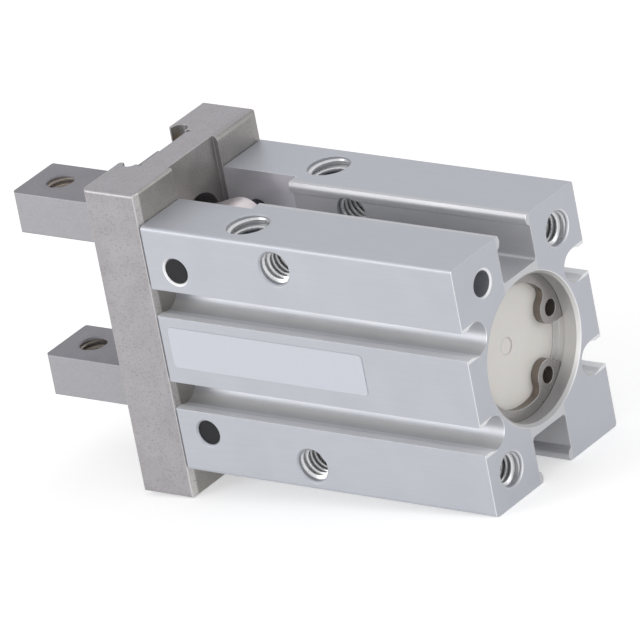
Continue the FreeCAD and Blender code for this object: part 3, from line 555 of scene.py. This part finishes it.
def machined_steel(name, base, roughness, direction, edge_wear_and_highlight=0.6, rounding=0.14, ends=WHITE, sides_painted_shade=WHITE):
    """Milled or turned steel; the ends tint puts painted shade on what faces up or down, the side tint
    puts painted shade and reflection on what faces off X, and worn edges get a painted highlight.
    """
    recipe = Recipe(name)
    marks = recipe.noise(0.1 * MM, 3.0, recipe.stretched(*direction))
    clouds = recipe.noise(2.5 * MM, 3.0)
    colour = recipe.mix(recipe.spread(marks, 0.0, 1.0), shade(base, 0.93), shade(base, 1.06))
    upright = recipe.math("ABSOLUTE", recipe.facing("Z"))
    # Painted shade on what faces up or down.
    colour = recipe.tint(colour, recipe.over(upright, 0.3, 0.1), ends)
    # Painted shade and reflection on what faces off X.
    colour = recipe.tint(colour, recipe.under(recipe.facing("X"), 0.5, 0.1), sides_painted_shade)
    # Worn edges with a painted highlight.
    colour = recipe.mix(recipe.scaled(recipe.edges(rounding * MM), edge_wear_and_highlight), colour, (0.85, 0.85, 0.86))
    normal = recipe.bump(marks, 0.005 * MM, recipe.bevel(rounding * MM))
    rough = recipe.spread(clouds, roughness - 0.04, roughness + 0.04)
    return recipe.finish(colour, rough, normal, metallic=0.7)


def dark_steel():
    """Ends of the hardened lever shafts, almost black."""
    recipe = Recipe("dark_steel")
    turning = recipe.noise(0.3 * MM, 3.0)
    colour = recipe.mix(turning, (0.015, 0.015, 0.018), (0.03, 0.03, 0.034))
    normal = recipe.bump(turning, 0.01 * MM, recipe.bevel(0.08 * MM))
    return recipe.finish(colour, recipe.spread(turning, 0.35, 0.5), normal, metallic=0.7)


def brass():
    """Turned brass of the ball stoppers."""
    recipe = Recipe("turned_brass")
    turning = recipe.noise(0.12 * MM, 3.0)
    colour = recipe.mix(turning, (0.50, 0.38, 0.17), (0.76, 0.62, 0.34))
    normal = recipe.bump(turning, 0.01 * MM, recipe.bevel(0.15 * MM))
    return recipe.finish(colour, recipe.spread(turning, 0.2, 0.32), normal)


def cap_plastic():
    """Moulded off-white plastic, faintly cloudy, with a smooth face, and painted shade where it shows
    through the snap ring's eyes.
    """
    recipe = Recipe("ivory_plastic")
    clouds = recipe.noise(3.0 * MM, 3.0)
    grain = recipe.noise(0.15 * MM, 2.0)
    colour = recipe.mix(clouds, (0.79, 0.765, 0.73), (0.85, 0.825, 0.79))
    # Painted shade where the cap shows through the snap ring's eyes.
    for place in RING_EYES:
        eye = recipe.under(recipe.off_axis(place), RING_EYE_RADIUS, 0.03 * MM)
        colour = recipe.mix(eye, colour, RING_EYE_PAINTED_SHADE)
    normal = recipe.bump(grain, 0.003 * MM, recipe.bevel(0.3 * MM))
    material = recipe.finish(colour, recipe.spread(clouds, 0.36, 0.44), normal, metallic=0.0)
    recipe.shader.inputs["Subsurface Weight"].default_value = 0.15
    recipe.shader.inputs["Subsurface Scale"].default_value = 0.6 * MM
    return material


def rubber(name, brightness):
    recipe = Recipe(name)
    grain = recipe.noise(0.1 * MM, 3.0)
    grey = shade(WHITE, brightness)
    colour = recipe.mix(grain, shade(grey, 0.7), shade(grey, 1.3))
    normal = recipe.bump(grain, 0.01 * MM, recipe.bevel(0.1 * MM))
    return recipe.finish(colour, recipe.spread(grain, 0.5, 0.65), normal, metallic=0.0)


def label_film():
    """Bare silver-grey film with a satin face and a slightly darker cut edge."""
    recipe = Recipe("label_film")
    weave = recipe.noise(0.4 * MM, 2.0)
    colour = recipe.mix(weave, (0.65, 0.667, 0.738), (0.675, 0.692, 0.763))
    colour = recipe.mix(recipe.scaled(recipe.edges(0.15 * MM), 0.5), colour, (0.45, 0.46, 0.49))
    normal = recipe.bump(weave, 0.002 * MM, recipe.bevel(0.03 * MM))
    return recipe.finish(colour, recipe.spread(weave, 0.42, 0.5), normal, metallic=0.0)


MATERIALS = {
    "anodised_aluminium": anodised_metal(),
    "guide_steel": guide_steel(),
    # Fingers: painted shade on their top and bottom faces, and no painted highlight on their edges.
    "finger_steel": machined_steel(
        "finger_steel", (0.37, 0.365, 0.385), 0.5, (0.25, 1.0, 1.0),
        edge_wear_and_highlight=0.0, rounding=0.05, ends=(0.66, 0.66, 0.69)),
    "lever_steel": machined_steel("lever_steel", (0.84, 0.78, 0.80), 0.4, (1.0, 0.2, 1.0)),
    "shaft_steel": dark_steel(),
    "bearing_steel": machined_steel("bearing_steel", (0.7, 0.7, 0.72), 0.15, (1.0, 1.0, 1.0)),
    "screw_steel": machined_steel("screw_steel", (0.42, 0.42, 0.44), 0.35, (1.0, 1.0, 1.0)),
    # Snap ring: painted shade and reflection on its walls, which face off X.
    "ring_steel": machined_steel(
        "ring_steel", (0.30, 0.285, 0.28), 0.3, (1.0, 0.4, 1.0),
        rounding=0.12, sides_painted_shade=(0.78, 0.70, 0.63)),
    "stopper_brass": brass(),
    "cap_plastic": cap_plastic(),
    "magnet_plastic": rubber("bonded_magnet", 0.09),
    "seal_rubber": rubber("seal_rubber", 0.03),
    "bumper_rubber": rubber("bumper_rubber", 0.05),
    "label_film": label_film(),
}


def dress_nodes():
    """Give every solid the material of its slot in the record."""
    slots = {part["node"]: part["material_slot"] for part in frame["record"]["subparts"]}
    for name, node in frame["nodes"].items():
        node.data.materials.clear()
        node.data.materials.append(MATERIALS[slots[name]])


def mesh_object(name, points, faces, material):
    mesh = bpy.data.meshes.new(name)
    mesh.from_pydata(points, [], faces)
    mesh.update()
    piece = bpy.data.objects.new(name, mesh)
    bpy.context.scene.collection.objects.link(piece)
    mesh.materials.append(material)
    shape = bmesh.new()
    shape.from_mesh(mesh)
    bmesh.ops.recalc_face_normals(shape, faces=shape.faces)
    shape.to_mesh(mesh)
    shape.free()
    return piece


def thread_sections(radius, pitch, length, run_in):
    """Closed profiles, as (radius, depth) corners, along an internal thread's helix.

    The ridge grows out of the wall at the mouth and fades into it at the bottom.
    """
    wall = radius + THREAD_EMBED
    crest = radius - THREAD_DEPTH * pitch
    foot = THREAD_HALF_FOOT * pitch
    flat = THREAD_HALF_CREST * pitch
    count = int((length - foot - pitch / 2) / pitch * THREAD_STEPS)
    sections = []
    for index in range(count + 1):
        turns = index / THREAD_STEPS
        turns_left = (count - index) / THREAD_STEPS
        depth = foot + turns * pitch
        grown = min(1.0, turns / run_in, turns_left / THREAD_RUN_OUT)
        inner = wall + (crest - wall) * grown
        sections.append([
            (wall, depth - foot),
            (inner, depth - flat),
            (inner, depth + flat),
            (wall, depth + foot),
        ])
    return sections


def finger_rim(radius):
    """Closed profile of the ring that narrows a finger's hole to the drilled size."""
    crest = radius - THREAD_DEPTH * THREAD_PITCH[radius]
    wall = radius + THREAD_EMBED
    slope = FINGER_RIM_RADIUS - crest
    mouth = -FINGER_CHAMFER
    low = mouth + slope + FINGER_RIM_LAND
    return [
        (wall, 0.0),
        (radius + FINGER_CHAMFER, mouth),
        (FINGER_RIM_RADIUS, mouth),
        (crest, mouth + slope),
        (crest, low),
        (wall, low + radius - crest),
    ]


def swept(sections, closed):
    """Corner points, in a hole's own frame, and faces of profiles swept round the Z axis."""
    points = []
    for index, section in enumerate(sections):
        angle = 2 * math.pi * index / THREAD_STEPS
        for r, depth in section:
            points.append(Vector((r * math.cos(angle), r * math.sin(angle), -depth)))
    width = len(sections[0])
    spans = len(sections) if closed else len(sections) - 1
    faces = []
    for index in range(spans):
        a = width * index
        b = width * ((index + 1) % len(sections))
        for corner in range(width):
            following = (corner + 1) % width
            faces.append((a + corner, a + following, b + following, b + corner))
    if not closed:
        last = width * (len(sections) - 1)
        faces.append(tuple(range(width)))
        faces.append(tuple(last + corner for corner in reversed(range(width))))
    return points, faces


def placed(mount, points):
    """Points of a hole's own frame, in millimetres, moved to the hole."""
    upright = Vector((0, 0, 1)).rotation_difference(Vector(mount["axis"])).to_matrix()
    mouth = Vector(mount["pos_m"])
    return [mouth + (upright @ point) * MM for point in points]


def thread(name, mount, run_in, material):
    """Helical ridge of an internal thread."""
    radius = mount["dims"]["r_mm"]
    sections = thread_sections(radius, THREAD_PITCH[radius], mount["dims"]["length_mm"], run_in)
    points, faces = swept(sections, False)
    return mesh_object(name, placed(mount, points), faces, material)


def rim(name, mount, at_far_end):
    """Rim at one end of a finger's through hole."""
    profile = finger_rim(mount["dims"]["r_mm"])
    if at_far_end:
        profile = [(r, mount["dims"]["length_mm"] - depth) for r, depth in profile]
    points, faces = swept([profile] * THREAD_STEPS, True)
    return mesh_object(name, placed(mount, points), faces, MATERIALS["finger_steel"])


def body_thread(name, mount):
    """Pieces of a tapped hole or port in the body."""
    material = cut_metal("cut_" + name, CUT_ALUMINIUM, mount)
    return [thread("thread_" + name, mount, THREAD_RUN_IN, material)]


def finger_thread(name, mount):
    """Pieces of a finger's tapped hole."""
    material = cut_metal("cut_" + name, CUT_STEEL, mount)
    return [
        thread("thread_" + name, mount, FINGER_RUN_IN, material),
        rim("outer_rim_" + name, mount, False),
        rim("inner_rim_" + name, mount, True),
    ]


def add_threads():
    bodies = {"finger_upper_thread": "upper_finger", "finger_lower_thread": "lower_finger"}
    for mount in frame["record"]["mounts"]:
        if mount["kind"] != "threaded_hole":
            continue
        name = mount["name"]
        on_finger = name in bodies
        pieces = finger_thread(name, mount) if on_finger else body_thread(name, mount)
        for piece in pieces:
            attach(piece, bodies.get(name, "housing"))


def seen_directly(tree):
    """1 for rays of the camera, a reflection or a transmission, and 0 for light on the object."""
    rays = tree.nodes.new("ShaderNodeLightPath")
    seen = rays.outputs["Is Camera Ray"]
    for kind in ("Is Glossy Ray", "Is Transmission Ray"):
        larger = tree.nodes.new("ShaderNodeMath")
        larger.operation = "MAXIMUM"
        tree.links.new(seen, larger.inputs[0])
        tree.links.new(rays.outputs[kind], larger.inputs[1])
        seen = larger.outputs[0]
    return seen


def floor_material():
    """Pale floor: white where it is seen, with the object's soft shadow kept."""
    recipe = Recipe("pale_floor")
    colour = recipe.mix(recipe.noise(200.0 * MM, 2.0), *FLOOR_GREYS)
    recipe.finish(colour, 0.9, recipe.bevel(0.1 * MM), metallic=0.0)
    recipe.shader.inputs["Specular IOR Level"].default_value = 0.0
    recipe.shader.inputs["Emission Color"].default_value = rgba(WHITE)
    glow = recipe.scaled(seen_directly(recipe.tree), FLOOR_GLOW)
    recipe.link(glow, recipe.shader.inputs["Emission Strength"])
    return recipe.material


def add_floor():
    """Floor that the guide's lower edge and the body's rear lower edge both rest on."""
    body_low, body_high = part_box("body")
    guide_low, guide_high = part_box("guide")
    front = Vector((guide_high.x, 0, guide_low.z))
    rear = Vector((body_high.x, 0, body_low.z))
    slope = math.atan2(rear.z - front.z, rear.x - front.x)
    half = FLOOR_SIZE / 2
    points = [(-half, -half, 0), (half, -half, 0), (half, half, 0), (-half, half, 0)]
    floor = mesh_object("floor", points, [(0, 1, 2, 3)], floor_material())
    floor.matrix_world = Matrix.Translation(front) @ Matrix.Rotation(-slope, 4, "Y")


def add_lamp(name, azimuth, elevation, distance, size, power):
    """Round soft lamp that shines at the middle of the gripper."""
    data = bpy.data.lights.new(name, "AREA")
    data.shape = "DISK"
    data.size = size
    data.energy = power
    lamp = bpy.data.objects.new(name, data)
    bpy.context.scene.collection.objects.link(lamp)
    direction = toward_camera(azimuth, elevation)
    lamp.location = LOOK_AT + direction * distance
    lamp.rotation_euler = direction.to_track_quat("Z", "Y").to_euler()


def add_world():
    """White surroundings, dimmer as light on the object than where they are seen."""
    world = bpy.data.worlds.new("studio")
    bpy.context.scene.world = world
    world.use_nodes = True
    tree = world.node_tree
    background = tree.nodes["Background"]
    background.inputs["Color"].default_value = rgba(WHITE)
    strength = tree.nodes.new("ShaderNodeMapRange")
    strength.inputs["To Min"].default_value = WORLD_FILL
    strength.inputs["To Max"].default_value = 1.0
    tree.links.new(seen_directly(tree), strength.inputs["Value"])
    tree.links.new(strength.outputs["Result"], background.inputs["Strength"])


def add_camera():
    data = bpy.data.cameras.new("camera")
    data.sensor_width = SENSOR_WIDTH
    data.lens = CAMERA_LENS
    data.clip_end = CAMERA_REACH
    camera = bpy.data.objects.new("camera", data)
    bpy.context.scene.collection.objects.link(camera)
    direction = toward_camera(CAMERA_AZIMUTH, CAMERA_ELEVATION)
    facing = direction.to_track_quat("Z", "Y").to_matrix().to_4x4()
    roll = Matrix.Rotation(math.radians(CAMERA_ROLL), 4, "Z")
    place = Matrix.Translation(LOOK_AT + direction * CAMERA_DISTANCE)
    camera.matrix_world = place @ facing @ roll
    bpy.context.scene.camera = camera


bpy.context.scene.view_settings.view_transform = "Standard"
dress_nodes()
add_threads()
add_floor()
add_lamp("key", *KEY_LAMP)
add_lamp("front_fill", *FRONT_LAMP)
add_lamp("rear_fill", *REAR_LAMP)
add_world()
add_camera()
